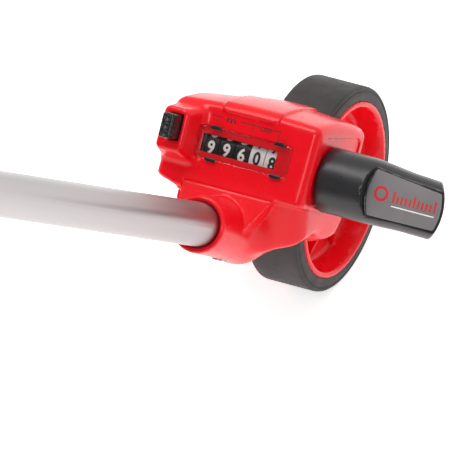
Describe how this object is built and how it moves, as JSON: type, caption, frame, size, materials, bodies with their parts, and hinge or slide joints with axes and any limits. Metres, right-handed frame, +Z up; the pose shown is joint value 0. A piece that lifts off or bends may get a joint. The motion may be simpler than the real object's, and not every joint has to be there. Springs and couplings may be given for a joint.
{
  "type": "measuring wheel",
  "caption": "Compact mechanical measuring wheel on a telescopic pole, with a geared drum counter in a red housing, a reset key and a short side grip.",
  "frame": {"origin": "the point where the tyre's middle touches the ground, with the pole at 45 degrees", "axes": "+X to the user's right along the wheel's axle, +Y the way the wheel rolls, +Z up"},
  "size_m": [0.1134, 0.3855, 0.3528],
  "materials": {
    "tyre": "smooth matt rubber",
    "red_plastic": "gloss",
    "black_plastic": "satin",
    "white_plastic": "satin",
    "clear_plastic": "clear",
    "steel": "zinc plated",
    "bronze": "sintered bronze",
    "aluminium": "satin anodised",
    "label": "printed film",
    "soft_rubber": "foam"
  },
  "bodies": {
    "housing": {"counter_housing": "red_plastic", "lower_housing": "red_plastic", "gear_case": "red_plastic", "gear_case_cover": "red_plastic", "inner_bush": "bronze", "outer_bush": "bronze", "idler_pin": "steel", "carrier_sleeve": "black_plastic", "counter_frame": "steel", "cover_screws": "steel", "housing_screws": "steel", "frame_screws": "steel", "pole_screw": "steel", "grip_screw": "steel", "counter_window": "clear_plastic", "window_clips": "black_plastic", "side_grip": "black_plastic", "grip_label": "label", "pole_tube": "aluminium", "reset_spring": "steel"},
    "wheel": {"tyre": "tyre", "wheel_rim": "red_plastic", "wheel_shaft": "steel", "hub_washer": "steel", "hub_screw": "steel", "wheel_gear": "white_plastic"},
    "idler": {"idler_gear": "white_plastic"},
    "centimetre_counter": {"centimetre_drum": "white_plastic", "counter_shaft": "steel", "counter_gear": "white_plastic"},
    "decimetre_counter": {"decimetre_drum": "white_plastic"},
    "metre_counter": {"metre_drum": "black_plastic"},
    "ten_metre_counter": {"ten_metre_drum": "black_plastic"},
    "hundred_metre_counter": {"hundred_metre_drum": "black_plastic"},
    "transfer_1": {"transfer_pinion_1": "white_plastic"},
    "transfer_2": {"transfer_pinion_2": "white_plastic"},
    "transfer_3": {"transfer_pinion_3": "white_plastic"},
    "transfer_4": {"transfer_pinion_4": "white_plastic"},
    "reset": {"reset_button": "black_plastic", "reset_bar": "black_plastic"},
    "middle_stage": {"pole_middle_tube": "aluminium"},
    "inner_stage": {"pole_inner_tube": "aluminium", "pole_grip": "soft_rubber", "pole_cap": "black_plastic"},
    "clamp_ring": {"twist_collar": "black_plastic"},
    "small_clamp_ring": {"small_twist_collar": "black_plastic"}
  },
  "joints": [
    {"name": "wheel_spin", "type": "hinge", "parent": "housing", "child": "wheel", "pos_m": [0, 0, 0.0398], "axis": [-1, 0, 0], "continuous": true},
    {"name": "idler_spin", "type": "hinge", "parent": "housing", "child": "idler", "pos_m": [0, -0.02254, 0.06138], "axis": [-1, 0, 0], "continuous": true},
    {"name": "centimetre_spin", "type": "hinge", "parent": "housing", "child": "centimetre_counter", "pos_m": [0, -0.03352, 0.08067], "axis": [-1, 0, 0], "continuous": true},
    {"name": "decimetre_spin", "type": "hinge", "parent": "housing", "child": "decimetre_counter", "pos_m": [0, -0.03352, 0.08067], "axis": [-1, 0, 0], "continuous": true},
    {"name": "metre_spin", "type": "hinge", "parent": "housing", "child": "metre_counter", "pos_m": [0, -0.03352, 0.08067], "axis": [-1, 0, 0], "continuous": true},
    {"name": "ten_metre_spin", "type": "hinge", "parent": "housing", "child": "ten_metre_counter", "pos_m": [0, -0.03352, 0.08067], "axis": [-1, 0, 0], "continuous": true},
    {"name": "hundred_metre_spin", "type": "hinge", "parent": "housing", "child": "hundred_metre_counter", "pos_m": [0, -0.03352, 0.08067], "axis": [-1, 0, 0], "continuous": true},
    {"name": "transfer_1_spin", "type": "hinge", "parent": "housing", "child": "transfer_1", "pos_m": [0, -0.02931, 0.08488], "axis": [-1, 0, 0], "continuous": true},
    {"name": "transfer_2_spin", "type": "hinge", "parent": "housing", "child": "transfer_2", "pos_m": [0, -0.02931, 0.08488], "axis": [-1, 0, 0], "continuous": true},
    {"name": "transfer_3_spin", "type": "hinge", "parent": "housing", "child": "transfer_3", "pos_m": [0, -0.02931, 0.08488], "axis": [-1, 0, 0], "continuous": true},
    {"name": "transfer_4_spin", "type": "hinge", "parent": "housing", "child": "transfer_4", "pos_m": [0, -0.02931, 0.08488], "axis": [-1, 0, 0], "continuous": true},
    {"name": "reset_press", "type": "slide", "parent": "housing", "child": "reset", "axis": [0, 0.7071, -0.7071], "range_m": [0, 0.0025], "stiffness_N_per_m": 400, "springref_m": -0.004, "deforming": ["reset_spring"]},
    {"name": "middle_stage_slide", "type": "slide", "parent": "housing", "child": "middle_stage", "axis": [0, -0.7071, 0.7071], "range_m": [0, 0.24]},
    {"name": "inner_stage_slide", "type": "slide", "parent": "middle_stage", "child": "inner_stage", "axis": [0, -0.7071, 0.7071], "range_m": [0, 0.24]},
    {"name": "clamp_ring_turn", "type": "hinge", "parent": "housing", "child": "clamp_ring", "pos_m": [-0.008, -0.08704, 0.09418], "axis": [0, -0.7071, 0.7071], "range_deg": [0, 90]},
    {"name": "small_clamp_ring_turn", "type": "hinge", "parent": "middle_stage", "child": "small_clamp_ring", "pos_m": [-0.008, -0.08704, 0.09418], "axis": [0, -0.7071, 0.7071], "range_deg": [0, 90]}
  ],
  "couplings": [
    {"joint": "idler_spin", "follows": "wheel_spin", "ratio": -0.92593},
    {"joint": "centimetre_spin", "follows": "wheel_spin", "ratio": 2.5},
    {"joint": "decimetre_spin", "follows": "wheel_spin", "ratio": 0.25},
    {"joint": "metre_spin", "follows": "wheel_spin", "ratio": 0.025},
    {"joint": "ten_metre_spin", "follows": "wheel_spin", "ratio": 0.0025},
    {"joint": "hundred_metre_spin", "follows": "wheel_spin", "ratio": 0.00025},
    {"joint": "transfer_4_spin", "follows": "wheel_spin", "ratio": 0.83333},
    {"joint": "transfer_3_spin", "follows": "wheel_spin", "ratio": 0.083333},
    {"joint": "transfer_2_spin", "follows": "wheel_spin", "ratio": 0.0083333},
    {"joint": "transfer_1_spin", "follows": "wheel_spin", "ratio": 0.00083333}
  ]
}
